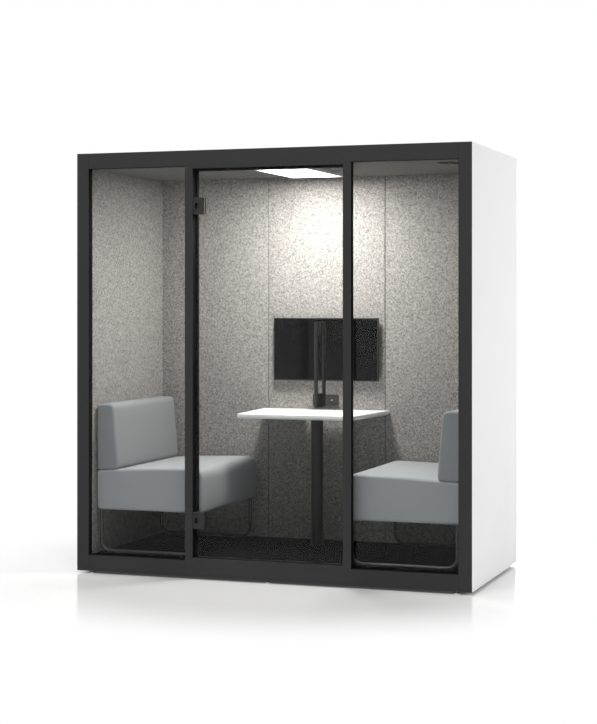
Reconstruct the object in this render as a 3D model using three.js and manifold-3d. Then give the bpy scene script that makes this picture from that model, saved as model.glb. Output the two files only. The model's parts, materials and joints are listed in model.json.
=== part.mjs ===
// Acoustic office pod: a free-standing cabin with a glass front and a hinged glass door.
// Inside are two facing sofas, a table on one column, a wall screen, a socket, a lamp and a fan.
// Millimetres, +Z up. X runs along the glass front, Y runs from the front to the back.
// The origin is on the ground under the middle of the whole pod, outer pull bar included.
import * as THREE from 'three';
import { mergeVertices } from 'three/addons/utils/BufferGeometryUtils.js';
import Module from 'manifold-3d';

const wasm = await Module();
wasm.setup();

// Cabin shell
const podWidth = 2220;
const podDepth = 1080;
const podHeight = 2300;
const groundGap = 12;
const sidePanelThickness = 45;
const backPanelThickness = 50;
const roofThickness = 60;
const liningThickness = 25;
const carpetThickness = 8;
const liningJoint = 4;
const liningJointDepth = 4;
const centreLiningWidth = 712;

// Front frame
const frameDepth = 40;
const postLip = 6;
const bottomRailHeight = 86;
const mullionWidth = 45;
const doorOpening = 846;
const jambDepth = 71;
const doorHeadHeight = 13;
const thresholdHeight = 15;

// Fixed glazing
const paneThickness = 10;
const paneEdgeGap = 7;
const paneStemGap = 2;
const gasketThickness = 2;

// Door leaf
const doorGlassThickness = 12;
const doorGlassSetback = 35;
const doorSideGap = 5;
const doorTopGap = 6;
const doorBottomGap = 5;
const stopReach = 12;
const stopDepth = 20;

// Door hinges
const hingeHeight = 90;
const hingeFromEdge = 200;
const pinDiameter = 5;
const pinFromJamb = 7;
const pinFromFront = 7;
const knuckleRadius = 5;
const knuckleGap = 0.6;
const leafThickness = 1.5;
const leafWidth = 28;
const clampWidth = 45;
const clampFromStop = 2;
const clampFrontThickness = 14;
const clampBackThickness = 8;
const clampBoltDiameter = 14;
const clampBoltSpacing = 50;

// Pull handle
const pullDiameter = 20;
const pullLength = 445;
const pullMiddleHeight = 1158;
const pullFromEdge = 133;
const pullStandout = 60;
const standoffHeight = 70;
const standoffWidth = 14;
const standoffBoltDiameter = 12;

// Working gap between pieces that are cut to each other, how far a cutting tool runs past a face,
// and the distance within which corners count as shared
const fit = 0.3;
const overcut = 1;
const weldDistance = 0.001;

// Lamp on the ceiling
const lampWidth = 310;
const lampLength = 620;
const lampHeight = 13;
const lampRim = 12;
const diffuserThickness = 6;
const diffuserRecess = 1;

// Ceiling fan
const fanFromWall = 105;
const fanFromFront = 240;
const fanFlangeRadius = 70;
const fanFlangeThickness = 4;
const ductRadius = 60;
const ductWall = 4;
const guardBar = 4;
const guardRingRadii = [30, 43];
const motorRadius = 18;
const motorHeight = 22;
const fanShaftDiameter = 6;
const rotorHubRadius = 20;
const rotorHeight = 18;
const rotorRadius = 52;
const rotorBlades = 7;
const bladeThickness = 2;
const bladePitch = 35;

// Levelling feet
const footPadRadius = 18;
const footPadHeight = 8;
const footStemRadius = 6;
const footStemLength = 40;
const footFromSide = 84;

// Table
const tableHeight = 762;
const tableThickness = 25;
const tableFrontWidth = 682;
const tableBackWidth = 770;
const tableDepth = 565;
const tableBevel = 9;
const tableCorner = 14;
const notchWidth = 234;
const notchDepth = 50;
const columnDiameter = 70;
const columnFromBack = 165;

// Sofas
const sofaFromFront = 90;
const sofaFromBack = 72;
const sofaFromWall = 5;
const seatDepth = 629;
const seatUnderside = 242;
const seatBackHeight = 216;
const seatFrontHeight = 242;
const seatFrontRound = 62;
const seatCrown = 8;
const backHeight = 365;
const backTopThickness = 102;
const backBottomThickness = 132;
const backRound = 30;
const cushionRound = 14;
const cushionCrown = 4;
const cushionDrawIn = 4;
const sledTube = 18;
const sledBend = 55;
const sledFromBack = 25;
const sledFromFront = 35;
const sledFromEnd = 14;
const glideRadius = 8;
const glideHeight = 6;
const glideFromLeg = 90;

// Wall screen, socket plate and light button
const screenWidth = 641;
const screenHeight = 366;
const screenThickness = 14;
const screenHumpWidth = 380;
const screenHumpHeight = 230;
const screenHumpDepth = 12;
const screenX = 8;
const screenMiddle = 1112;
const bracketWidth = 200;
const bracketHeight = 120;
const bracketDepth = 12;
const socketWidth = 158;
const socketHeight = 63;
const socketDepth = 11;
const socketMiddle = 816;
const outletRadius = 19;
const outletDepth = 7;
const buttonRadius = 10;
const buttonLength = 9;
const buttonProud = 3;
const buttonTravel = 2;

// Facets round a full turn, and steps along soft and bent pieces
const roundSides = 24;
const smallSides = 14;
const tubeSides = 10;
const sledSteps = 36;
const cornerSteps = 4;
const cushionStations = 6;
const cushionEndRings = [0.35, 0.7];
const seatCrownStops = [0.25, 0.5, 0.75];

// Places that several pieces share
const front = -podDepth / 2;
const back = podDepth / 2;
const frameBack = front + frameDepth;
const wallInner = podWidth / 2 - sidePanelThickness;
const liningX = wallInner - liningThickness;
const backPanelFront = back - backPanelThickness;
const liningBack = backPanelFront - liningThickness;
const roofUnderside = podHeight - roofThickness;
const ceiling = roofUnderside - liningThickness;
const carpetTop = groundGap + bottomRailHeight;
const carpetUnderside = carpetTop - carpetThickness;
const paneBite = liningThickness - paneEdgeGap;
const paneFront = frameBack + gasketThickness;
const paneBack = paneFront + paneThickness;
const jamb = doorOpening / 2;
const mullionOuter = jamb + mullionWidth;
const mullionStem = mullionWidth - paneBite - paneStemGap;
const headUnderside = ceiling - doorHeadHeight;
const thresholdTop = carpetTop + thresholdHeight;
const glassFront = front + doorGlassSetback;
const glassBack = glassFront + doorGlassThickness;
const glassEdge = jamb - doorSideGap;
const glassTop = headUnderside - doorTopGap;
const glassBottom = thresholdTop + doorBottomGap;
const pullRadius = pullDiameter / 2;
const pullProjection = pullStandout + pullRadius - doorGlassSetback;
const pullX = glassEdge - pullFromEdge;

// Finishes, one plain colour for each kind of surface
const anthracite = { color: 0x3c3c3d, roughness: 0.55, metalness: 0.2 };
const black = { color: 0x141414, roughness: 0.5, metalness: 0.2 };
const rubber = { color: 0x0f0f10, roughness: 0.9, metalness: 0 };
const glass = { color: 0xdfe8e8, roughness: 0.05, metalness: 0, transparent: true, opacity: 0.25 };
const white = { color: 0xf0f0f0, roughness: 0.6, metalness: 0 };
const felt = { color: 0x8f8c88, roughness: 1, metalness: 0 };
const carpetPile = { color: 0x17181b, roughness: 1, metalness: 0 };
const wool = { color: 0x858a8f, roughness: 0.95, metalness: 0 };
const diffuse = { color: 0xfff6e8, roughness: 0.6, metalness: 0 };
const screenBlack = { color: 0x0a0a0b, roughness: 0.2, metalness: 0 };
const steel = { color: 0xb4b6b8, roughness: 0.35, metalness: 1 };

// The whole pod is set back by half the pull bar's projection, which centres it on the origin.
const pod = new THREE.Group();
pod.position.y = pullProjection / 2;

function addPiece(name, geometry, finish, parent = pod) {
  const mesh = new THREE.Mesh(geometry, new THREE.MeshStandardMaterial(finish));
  mesh.name = name;
  parent.add(mesh);
  return mesh;
}

// A group that stands at a place on the plan and is turned about its own upright axis.
function addGroup(x, y, turn = 0) {
  const group = new THREE.Group();
  group.position.set(x, y, 0);
  group.rotation.z = turn;
  pod.add(group);
  return group;
}

// Six times the signed volume of a closed mesh, negative when its faces point inwards.
function signedVolume(geometry) {
  const point = geometry.attributes.position;
  const index = geometry.index;
  const a = new THREE.Vector3();
  const b = new THREE.Vector3();
  const c = new THREE.Vector3();
  let sum = 0;
  for (let i = 0; i < index.count; i += 3) {
    a.fromBufferAttribute(point, index.getX(i));
    b.fromBufferAttribute(point, index.getX(i + 1));
    c.fromBufferAttribute(point, index.getX(i + 2));
    sum += a.dot(b.cross(c));
  }
  return sum;
}

// One closed mesh with shared corners and its faces pointing out.
function weld(geometry) {
  const bare = geometry.clone();
  bare.deleteAttribute('normal');
  bare.deleteAttribute('uv');
  const welded = mergeVertices(bare, weldDistance);
  const kept = [];
  for (let i = 0; i < welded.index.count; i += 3) {
    const [a, b, c] = [0, 1, 2].map((k) => welded.index.getX(i + k));
    if (a !== b && b !== c && c !== a) kept.push(a, b, c);
  }
  welded.setIndex(kept);
  if (signedVolume(welded) < 0) welded.setIndex(kept.reverse());
  return welded;
}

function toSolid(geometry) {
  const welded = weld(geometry);
  const vertProperties = new Float32Array(welded.attributes.position.array);
  const triVerts = new Uint32Array(welded.index.array);
  return new wasm.Manifold(new wasm.Mesh({ numProp: 3, vertProperties, triVerts }));
}

function fromSolid(solid) {
  const mesh = solid.getMesh();
  const geometry = new THREE.BufferGeometry();
  geometry.setAttribute('position', new THREE.BufferAttribute(mesh.vertProperties, 3));
  geometry.setIndex(new THREE.BufferAttribute(mesh.triVerts, 1));
  return geometry;
}

function join(...geometries) {
  return fromSolid(geometries.map(toSolid).reduce((sum, next) => sum.add(next)));
}

function cut(geometry, ...tools) {
  return fromSolid(tools.map(toSolid).reduce((rest, tool) => rest.subtract(tool), toSolid(geometry)));
}

// A block between two values on each axis.
function block(x0, x1, y0, y1, z0, z1) {
  const geometry = new THREE.BoxGeometry(x1 - x0, y1 - y0, z1 - z0);
  geometry.translate((x0 + x1) / 2, (y0 + y1) / 2, (z0 + z1) / 2);
  return geometry;
}

// An outline in two axes carried along the third: X and Y up Z, Y and Z along X, X and Z along Y.
function prismZ(outline, z0, z1) {
  const geometry = new THREE.ExtrudeGeometry(outline, { depth: z1 - z0, bevelEnabled: false });
  geometry.translate(0, 0, z0);
  return weld(geometry);
}

function prismX(outline, x0, x1) {
  const geometry = prismZ(outline, x0, x1);
  geometry.rotateX(Math.PI / 2);
  geometry.rotateZ(Math.PI / 2);
  return geometry;
}

function prismY(outline, y0, y1) {
  const geometry = prismZ(outline, -y1, -y0);
  geometry.rotateX(Math.PI / 2);
  return geometry;
}

function outlineOf(points) {
  return new THREE.Shape(points.map(([u, v]) => new THREE.Vector2(u, v)));
}

function rectangle(u0, u1, v0, v1) {
  return outlineOf([[u0, v0], [u1, v0], [u1, v1], [u0, v1]]);
}

function rectangularRing(outer, inner) {
  const ring = rectangle(...outer);
  ring.holes.push(rectangle(...inner));
  return ring;
}

function roundBar(radius, x, y, z0, z1, sides = roundSides) {
  const geometry = new THREE.CylinderGeometry(radius, radius, z1 - z0, sides);
  geometry.rotateX(Math.PI / 2);
  geometry.translate(x, y, (z0 + z1) / 2);
  return geometry;
}

function roundBarAlongY(radius, x, z, y0, y1, sides = roundSides) {
  const geometry = new THREE.CylinderGeometry(radius, radius, y1 - y0, sides);
  geometry.translate(x, (y0 + y1) / 2, z);
  return geometry;
}

// A radius and height profile turned about the upright axis.
function turned(profile) {
  const geometry = new THREE.LatheGeometry(profile.map(([r, z]) => new THREE.Vector2(r, z)), roundSides);
  geometry.rotateX(Math.PI / 2);
  return weld(geometry);
}

// A polygon whose corners each have their own rounding: [u, v, radius].
function roundedOutline(corners) {
  const shape = new THREE.Shape();
  corners.forEach(([u, v, radius], i) => {
    const corner = new THREE.Vector2(u, v);
    const previous = corners[(i + corners.length - 1) % corners.length];
    const next = corners[(i + 1) % corners.length];
    const towards = ([pu, pv]) => new THREE.Vector2(pu, pv).sub(corner).setLength(radius).add(corner);
    const start = radius > 0 ? towards(previous) : corner;
    const end = radius > 0 ? towards(next) : corner;
    if (i === 0) shape.moveTo(start.x, start.y);
    else shape.lineTo(start.x, start.y);
    if (radius > 0) shape.quadraticCurveTo(corner.x, corner.y, end.x, end.y);
  });
  shape.closePath();
  return shape;
}

// Front frame: two lipped posts with a top and a bottom rail between them.
// Each post's lip covers the front edge of its side panel, and its leg is as wide as the lining.
for (const [name, side] of [['left_post', -1], ['right_post', 1]]) {
  const outline = [
    [side * liningX, front],
    [side * podWidth / 2, front],
    [side * podWidth / 2, front + postLip],
    [side * wallInner, front + postLip],
    [side * wallInner, frameBack],
    [side * liningX, frameBack],
  ];
  addPiece(name, prismZ(outlineOf(outline), groundGap, podHeight), anthracite);
}
addPiece('top_rail', block(-liningX, liningX, front, frameBack, ceiling, podHeight), anthracite);

// Levelling feet: three screw up into the bottom rail and three into the back panel.
const footX = podWidth / 2 - footFromSide;
const footColumns = [['left', -footX], ['middle', 0], ['right', footX]];
function footBores(y) {
  return footColumns.map(
    ([, x]) => roundBar(footStemRadius + fit, x, y, groundGap - overcut, footStemLength + fit, smallSides),
  );
}
const frontFeetY = (front + frameBack) / 2;
const backFeetY = (backPanelFront + back) / 2;
const footProfile = [
  [0, 0],
  [footPadRadius, 0],
  [footPadRadius, footPadHeight / 2],
  [footStemRadius, footPadHeight],
  [footStemRadius, footStemLength],
  [0, footStemLength],
];
for (const [row, y] of [['front', frontFeetY], ['back', backFeetY]]) {
  for (const [column, x] of footColumns) {
    const foot = addPiece(`${row}_${column}_foot`, turned(footProfile), steel);
    foot.position.set(x, y, 0);
  }
}
const bottomRail = block(-liningX, liningX, front, frameBack, groundGap, carpetTop);
addPiece('bottom_rail', cut(bottomRail, ...footBores(frontFeetY)), anthracite);

// Mullions: a front flange that hides the pane's edge and a stem flush with the door side.
for (const [name, side] of [['left_mullion', -1], ['right_mullion', 1]]) {
  const outline = [
    [side * jamb, front],
    [side * mullionOuter, front],
    [side * mullionOuter, frameBack],
    [side * (jamb + mullionStem), frameBack],
    [side * (jamb + mullionStem), front + jambDepth],
    [side * jamb, front + jambDepth],
  ];
  addPiece(name, prismZ(outlineOf(outline), carpetTop, ceiling), anthracite);
}
addPiece('door_head', block(-jamb, jamb, front, front + jambDepth, headUnderside, ceiling), anthracite);
addPiece(
  'door_threshold',
  block(-jamb, jamb, front, front + jambDepth, carpetTop, thresholdTop),
  anthracite,
);

// Fixed panes sit behind the frame on a thin gasket, with their edges hidden by the frame.
for (const [name, side] of [['left_pane', -1], ['right_pane', 1]]) {
  const [x0, x1] = [side * liningX, side * mullionOuter].sort((a, b) => a - b);
  const opening = [x0, x1, carpetTop, ceiling];
  const pane = [x0 - paneBite, x1 + paneBite, carpetTop - paneBite, ceiling + paneBite];
  addPiece(`${name}_gasket`, prismY(rectangularRing(pane, opening), frameBack, paneFront), rubber);
  addPiece(name, prismY(rectangle(...pane), paneFront, paneBack), glass);
}

// Rubber stop behind the door glass: two uprights and a head in one moulding.
const stopFront = glassBack + fit;
const stopOutline = outlineOf([
  [-jamb, thresholdTop],
  [-jamb + stopReach, thresholdTop],
  [-jamb + stopReach, headUnderside - stopReach],
  [jamb - stopReach, headUnderside - stopReach],
  [jamb - stopReach, thresholdTop],
  [jamb, thresholdTop],
  [jamb, headUnderside],
  [-jamb, headUnderside],
]);
addPiece('door_stop_seal', prismY(stopOutline, stopFront, stopFront + stopDepth), rubber);

// Hinges on the left jamb. The leaf carries the middle knuckle, the glass clamp the outer two.
const pinX = -jamb + pinFromJamb;
const pinY = front + pinFromFront;
const clampX0 = -jamb + stopReach + clampFromStop;
const clampX1 = clampX0 + clampWidth;
const clampX = (clampX0 + clampX1) / 2;
const clampFront = glassFront - clampFrontThickness;
const clampBack = glassBack + clampBackThickness;
const hinges = [
  ['upper', headUnderside - hingeFromEdge],
  ['lower', thresholdTop + hingeFromEdge],
];
const clampBoltHeights = (middle) => [middle - clampBoltSpacing / 2, middle + clampBoltSpacing / 2];
for (const [place, middle] of hinges) {
  const low = middle - hingeHeight / 2;
  const high = middle + hingeHeight / 2;
  const third = hingeHeight / 3;
  const bore = roundBar(pinDiameter / 2 + fit, pinX, pinY, low - fit, high + fit, smallSides);
  const leaf = join(
    block(-jamb, -jamb + leafThickness, pinY - knuckleRadius, pinY - knuckleRadius + leafWidth, low, high),
    block(
      -jamb, pinX, pinY - knuckleRadius, pinY + knuckleRadius,
      low + third + knuckleGap, high - third - knuckleGap,
    ),
    roundBar(knuckleRadius, pinX, pinY, low + third + knuckleGap, high - third - knuckleGap, smallSides),
  );
  addPiece(`${place}_hinge_leaf`, cut(leaf, bore), black);
  addPiece(
    `${place}_hinge_pin`,
    roundBar(pinDiameter / 2, pinX, pinY, low, high, smallSides),
    steel,
  );
  const arm = outlineOf([
    [pinX, pinY - knuckleRadius],
    [clampX, clampFront],
    [clampX, glassFront - fit],
    [clampX0, glassFront - fit],
    [pinX, pinY + knuckleRadius],
  ]);
  const clamp = join(
    block(clampX0, clampX1, clampFront, glassFront - fit, low, high),
    block(clampX0, clampX1, glassBack + fit, clampBack, low, high),
    ...clampBoltHeights(middle).map(
      (z) => roundBarAlongY(
        clampBoltDiameter / 2, clampX, z, glassFront - overcut, glassBack + overcut, smallSides,
      ),
    ),
    ...[[low, low + third], [high - third, high]].flatMap(([z0, z1]) => [
      prismZ(arm, z0, z1),
      roundBar(knuckleRadius, pinX, pinY, z0, z1, smallSides),
    ]),
  );
  addPiece(`${place}_hinge_clamp`, cut(clamp, bore), black);
}

// Back-to-back pull bars held by two standoffs that bolt through the glass.
const pullLow = pullMiddleHeight - pullLength / 2;
const pullHigh = pullMiddleHeight + pullLength / 2;
const outerPullY = glassFront - pullStandout;
const innerPullY = glassBack + pullStandout;
const standoffs = [
  ['upper', pullHigh - standoffHeight, pullHigh],
  ['lower', pullLow, pullLow + standoffHeight],
];
addPiece('outer_pull_bar', roundBar(pullRadius, pullX, outerPullY, pullLow, pullHigh), black);
addPiece('inner_pull_bar', roundBar(pullRadius, pullX, innerPullY, pullLow, pullHigh), black);
for (const [place, z0, z1] of standoffs) {
  const x0 = pullX - standoffWidth / 2;
  const x1 = pullX + standoffWidth / 2;
  const through = join(
    block(x0, x1, outerPullY, glassFront - fit, z0, z1),
    block(x0, x1, glassBack + fit, innerPullY, z0, z1),
    roundBarAlongY(
      standoffBoltDiameter / 2, pullX, (z0 + z1) / 2, glassFront - overcut, glassBack + overcut, smallSides,
    ),
  );
  const saddles = [outerPullY, innerPullY].map(
    (y) => roundBar(pullRadius + fit, pullX, y, z0 - overcut, z1 + overcut),
  );
  addPiece(`${place}_pull_standoff`, cut(through, ...saddles), black);
}

// Frameless door glass, drilled for the hinge clamps and the pull handle.
const clampHoles = hinges.flatMap(([, middle]) => clampBoltHeights(middle)).map(
  (z) => roundBarAlongY(
    clampBoltDiameter / 2 + fit, clampX, z, glassFront - overcut, glassBack + overcut, smallSides,
  ),
);
const pullHoles = standoffs.map(([, z0, z1]) => (z0 + z1) / 2).map(
  (z) => roundBarAlongY(
    standoffBoltDiameter / 2 + fit, pullX, z, glassFront - overcut, glassBack + overcut, smallSides,
  ),
);
const doorPlate = block(-glassEdge, glassEdge, glassFront, glassBack, glassBottom, glassTop);
addPiece('door_glass', cut(doorPlate, ...clampHoles, ...pullHoles), glass);

// Outer shell: side panels full height and depth, with the back, roof and floor between them.
for (const [name, side] of [['left_side_panel', -1], ['right_side_panel', 1]]) {
  const [x0, x1] = [side * wallInner, side * podWidth / 2].sort((a, b) => a - b);
  addPiece(name, block(x0, x1, front + postLip, back, groundGap, podHeight), white);
}
const backBoard = block(-wallInner, wallInner, backPanelFront, back, groundGap, podHeight);
addPiece('back_panel', cut(backBoard, ...footBores(backFeetY)), white);

// The fan's duct passes through the ceiling lining and the roof.
const fanX = liningX - fanFromWall;
const fanY = front + fanFromFront;
const ductHole = roundBar(ductRadius + fit, fanX, fanY, ceiling - overcut, podHeight + overcut);
const roofBoard = block(-wallInner, wallInner, frameBack, backPanelFront, roofUnderside, podHeight);
addPiece('roof_panel', cut(roofBoard, ductHole), white);

// Floor: a stepped base that clears the lower edge of the panes, with the carpet on it.
const paneSill = carpetTop - paneBite - paneEdgeGap;
const floorOutline = outlineOf([
  [frameBack, groundGap],
  [backPanelFront, groundGap],
  [backPanelFront, carpetUnderside],
  [paneBack, carpetUnderside],
  [paneBack, paneSill],
  [frameBack, paneSill],
]);
addPiece('floor_panel', prismX(floorOutline, -wallInner, wallInner), black);
addPiece(
  'carpet',
  block(-wallInner, wallInner, paneBack, backPanelFront, carpetUnderside, carpetTop),
  carpetPile,
);

// Felt linings: one board on each side, three on the back, and a grooved one on the ceiling.
for (const [name, side] of [['left_felt', -1], ['right_felt', 1]]) {
  const [x0, x1] = [side * liningX, side * wallInner].sort((a, b) => a - b);
  addPiece(name, block(x0, x1, paneBack, backPanelFront, carpetTop, ceiling), felt);
}
const jointX = centreLiningWidth / 2;
const backBoards = [
  ['back_felt_left', -liningX, -jointX - liningJoint],
  ['back_felt_centre', -jointX, jointX],
  ['back_felt_right', jointX + liningJoint, liningX],
];
for (const [name, x0, x1] of backBoards) {
  addPiece(name, block(x0, x1, liningBack, backPanelFront, carpetTop, ceiling), felt);
}
const ceilingOutline = outlineOf([
  [-wallInner, ceiling],
  ...[-jointX - liningJoint, jointX].flatMap((x) => [
    [x, ceiling],
    [x, ceiling + liningJointDepth],
    [x + liningJoint, ceiling + liningJointDepth],
    [x + liningJoint, ceiling],
  ]),
  [wallInner, ceiling],
  [wallInner, roofUnderside],
  [-wallInner, roofUnderside],
]);
addPiece('ceiling_felt', cut(prismY(ceilingOutline, paneBack, backPanelFront), ductHole), felt);

// Flat lamp fixed under the ceiling: a rim and the diffuser that drops into it.
const lampUnderside = ceiling - lampHeight;
const lampOuter = [-lampWidth / 2, lampWidth / 2, -lampLength / 2, lampLength / 2];
const lampInner = lampOuter.map((edge) => edge - Math.sign(edge) * lampRim);
const diffuserOutline = lampInner.map((edge) => edge - Math.sign(edge) * fit);
const diffuserUnderside = lampUnderside + diffuserRecess;
addPiece('lamp_frame', prismZ(rectangularRing(lampOuter, lampInner), lampUnderside, ceiling), white);
addPiece(
  'lamp_diffuser',
  prismZ(rectangle(...diffuserOutline), diffuserUnderside, diffuserUnderside + diffuserThickness),
  diffuse,
);

// Fan housing: flange, duct, guard rings on crossed bars, motor and the shaft for the rotor.
const fan = addGroup(fanX, fanY);
const flangeUnderside = ceiling - fanFlangeThickness;
const guardTop = flangeUnderside + guardBar;
const ductInner = ductRadius - ductWall;
const motorTop = flangeUnderside + motorHeight;
const rotorUnderside = motorTop + fit;
const rotorTop = rotorUnderside + rotorHeight;
const fanDuct = turned([
  [ductInner, flangeUnderside],
  [fanFlangeRadius, flangeUnderside],
  [fanFlangeRadius, ceiling],
  [ductRadius, ceiling],
  [ductRadius, podHeight],
  [ductInner, podHeight],
  [ductInner, flangeUnderside],
]);
const guardRings = guardRingRadii.map((radius) => turned([
  [radius - guardBar / 2, flangeUnderside],
  [radius + guardBar / 2, flangeUnderside],
  [radius + guardBar / 2, guardTop],
  [radius - guardBar / 2, guardTop],
  [radius - guardBar / 2, flangeUnderside],
]));
const guardReach = ductInner + ductWall / 2;
const guardCross = [
  block(-guardReach, guardReach, -guardBar / 2, guardBar / 2, flangeUnderside, guardTop),
  block(-guardBar / 2, guardBar / 2, -guardReach, guardReach, flangeUnderside, guardTop),
];
const motor = roundBar(motorRadius, 0, 0, flangeUnderside, motorTop);
const motorShaft = roundBar(fanShaftDiameter / 2, 0, 0, motorTop - overcut, rotorTop, smallSides);
addPiece('fan_housing', join(fanDuct, ...guardRings, ...guardCross, motor, motorShaft), black, fan);

// Fan rotor: a hub on the motor shaft with pitched flat blades that stay within the hub's height.
const pitch = THREE.MathUtils.degToRad(bladePitch);
const bladeChord = (rotorHeight - bladeThickness * Math.cos(pitch)) / Math.sin(pitch);
const blades = Array.from({ length: rotorBlades }, (_, i) => {
  const blade = block(
    rotorHubRadius - bladeThickness, rotorRadius,
    -bladeThickness / 2, bladeThickness / 2,
    -bladeChord / 2, bladeChord / 2,
  );
  blade.rotateX(Math.PI / 2 - pitch);
  blade.rotateZ(i * 2 * Math.PI / rotorBlades);
  blade.translate(0, 0, (rotorUnderside + rotorTop) / 2);
  return blade;
});
const rotorHub = roundBar(rotorHubRadius, 0, 0, rotorUnderside, rotorTop);
const shaftBore = roundBar(
  fanShaftDiameter / 2 + fit, 0, 0, rotorUnderside - overcut, rotorTop + overcut, smallSides,
);
addPiece('fan_rotor', cut(join(rotorHub, ...blades), shaftBore), black, fan);

// Table: a tapered top with a bevelled underside and a cable notch, on one round column.
const tableTop = carpetTop + tableHeight;
const tableUnderside = tableTop - tableThickness;
const tableBack = liningBack - fit;
const tableOutline = roundedOutline([
  [-tableFrontWidth / 2, tableBack - tableDepth, tableCorner],
  [tableFrontWidth / 2, tableBack - tableDepth, tableCorner],
  [tableBackWidth / 2, tableBack, 0],
  [notchWidth / 2, tableBack, 0],
  [notchWidth / 2, tableBack - notchDepth, tableCorner],
  [-notchWidth / 2, tableBack - notchDepth, tableCorner],
  [-notchWidth / 2, tableBack, 0],
  [-tableBackWidth / 2, tableBack, 0],
]);
const bevelled = new THREE.ExtrudeGeometry(tableOutline, {
  depth: tableThickness,
  bevelEnabled: true,
  bevelSegments: 1,
  bevelThickness: tableBevel,
  bevelSize: tableBevel,
  bevelOffset: -tableBevel,
  curveSegments: cornerSteps,
});
bevelled.translate(0, 0, tableUnderside + tableBevel);
const aboveTable = block(-podWidth, podWidth, -podDepth, podDepth, tableTop, podHeight);
addPiece('table_top', cut(bevelled, aboveTable), white);
addPiece(
  'table_column',
  roundBar(columnDiameter / 2, 0, liningBack - columnFromBack, carpetTop, tableUnderside),
  black,
);

// A padded block: a side profile carried across its width, with rounded ends.
// The ends swell by the crown and the long faces draw in between the corners.
function cushion(profile, y0, y1) {
  const points = profile.getPoints(cornerSteps).slice(0, -1);
  const middle = (y0 + y1) / 2;
  const half = (y1 - y0) / 2;
  const centre = points.reduce((sum, p) => sum.add(p), new THREE.Vector2()).divideScalar(points.length);
  const rings = [];
  const addRing = (scale, inset, y) => rings.push(points.map((p) => {
    const arm = p.clone().sub(centre);
    const reach = Math.max(arm.length() * scale - inset, 0);
    const moved = arm.setLength(reach).add(centre);
    return [moved.x, y, moved.y];
  }));
  const addEnd = (side) => {
    const rows = [];
    for (const scale of cushionEndRings) {
      rows.push([scale, cushionRound * scale, half - cushionCrown * scale * scale]);
    }
    for (let i = 0; i <= cornerSteps; i += 1) {
      const turn = (i / cornerSteps) * Math.PI / 2;
      const inset = cushionRound * (1 - Math.sin(turn));
      rows.push([1, inset, half - cushionCrown - cushionRound * (1 - Math.cos(turn))]);
    }
    if (side > 0) rows.reverse();
    rows.forEach(([scale, inset, y]) => addRing(scale, inset, middle + side * y));
  };
  addEnd(-1);
  const straight = half - cushionCrown - cushionRound;
  for (let i = 1; i < cushionStations; i += 1) {
    const along = -1 + 2 * i / cushionStations;
    addRing(1, cushionDrawIn * (1 - along * along), middle + along * straight);
  }
  addEnd(1);
  const count = points.length;
  const positions = [...rings.flat(2), centre.x, y0, centre.y, centre.x, y1, centre.y];
  const firstPole = rings.length * count;
  const index = [];
  for (let i = 0; i < count; i += 1) {
    const j = (i + 1) % count;
    index.push(firstPole, j, i);
    for (let row = 0; row < rings.length - 1; row += 1) {
      const a = row * count;
      const b = a + count;
      index.push(a + i, a + j, b + i, a + j, b + j, b + i);
    }
    const last = (rings.length - 1) * count;
    index.push(firstPole + 1, last + i, last + j);
  }
  const geometry = new THREE.BufferGeometry();
  geometry.setAttribute('position', new THREE.Float32BufferAttribute(positions, 3));
  geometry.setIndex(index);
  return weld(geometry);
}

// A bent tube in the X and Z plane: down a leg, along the floor and up the other leg.
function sledTubeRun(x0, x1, y, low, high) {
  const at = (x, z) => new THREE.Vector3(x, y, z);
  const pull = sledBend * (1 - 4 * (Math.SQRT2 - 1) / 3);
  const path = new THREE.CurvePath();
  path.add(new THREE.LineCurve3(at(x0, high), at(x0, low + sledBend)));
  path.add(new THREE.CubicBezierCurve3(
    at(x0, low + sledBend), at(x0, low + pull), at(x0 + pull, low), at(x0 + sledBend, low),
  ));
  path.add(new THREE.LineCurve3(at(x0 + sledBend, low), at(x1 - sledBend, low)));
  path.add(new THREE.CubicBezierCurve3(
    at(x1 - sledBend, low), at(x1 - pull, low), at(x1, low + pull), at(x1, low + sledBend),
  ));
  path.add(new THREE.LineCurve3(at(x1, low + sledBend), at(x1, high)));
  const section = outlineOf(Array.from({ length: tubeSides }, (_, i) => {
    const turn = i * 2 * Math.PI / tubeSides;
    return [sledTube / 2 * Math.cos(turn), sledTube / 2 * Math.sin(turn)];
  }));
  return new THREE.ExtrudeGeometry(section, { steps: sledSteps, extrudePath: path, bevelEnabled: false });
}

// Two sofas with their backs to the side walls, each a seat and a back on two bent sled frames.
// A sofa's own X runs from its back to its front edge, and the right one is turned half way round.
// A sofa fills the depth of the cabin between the glass front and the gap at the back wall.
const sofaNear = front + sofaFromFront;
const sofaRear = liningBack - sofaFromBack;
const sofaHalf = (sofaRear - sofaNear) / 2;
const sofaY = (sofaNear + sofaRear) / 2;
const sofaX = liningX - sofaFromWall;
const seatLow = carpetTop + seatUnderside;
const seatRise = (seatFrontHeight - seatBackHeight) / seatDepth;
const seatTopAt = (x) => seatLow + seatBackHeight + seatRise * x;
const crownStart = backBottomThickness + cushionRound;
const crownRun = seatDepth - seatFrontRound - crownStart;
const crownPoints = seatCrownStops.map((t) => {
  const x = crownStart + crownRun * t;
  return [x, seatTopAt(x) + seatCrown * 4 * t * (1 - t), 0];
});
const seatProfile = roundedOutline([
  [0, seatLow, cushionRound],
  [seatDepth, seatLow, cushionRound],
  [seatDepth, seatTopAt(seatDepth), seatFrontRound],
  ...crownPoints.reverse(),
  [crownStart, seatTopAt(crownStart), 0],
  [0, seatTopAt(0), cushionRound],
]);
const backLowAt = (x) => seatTopAt(x) + fit;
const backHigh = backLowAt(0) + backHeight;
const backProfile = roundedOutline([
  [0, backLowAt(0), cushionRound],
  [backBottomThickness, backLowAt(backBottomThickness), backRound],
  [backTopThickness, backHigh, backRound],
  [0, backHigh, backRound],
]);
const sledBack = sledFromBack;
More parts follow.
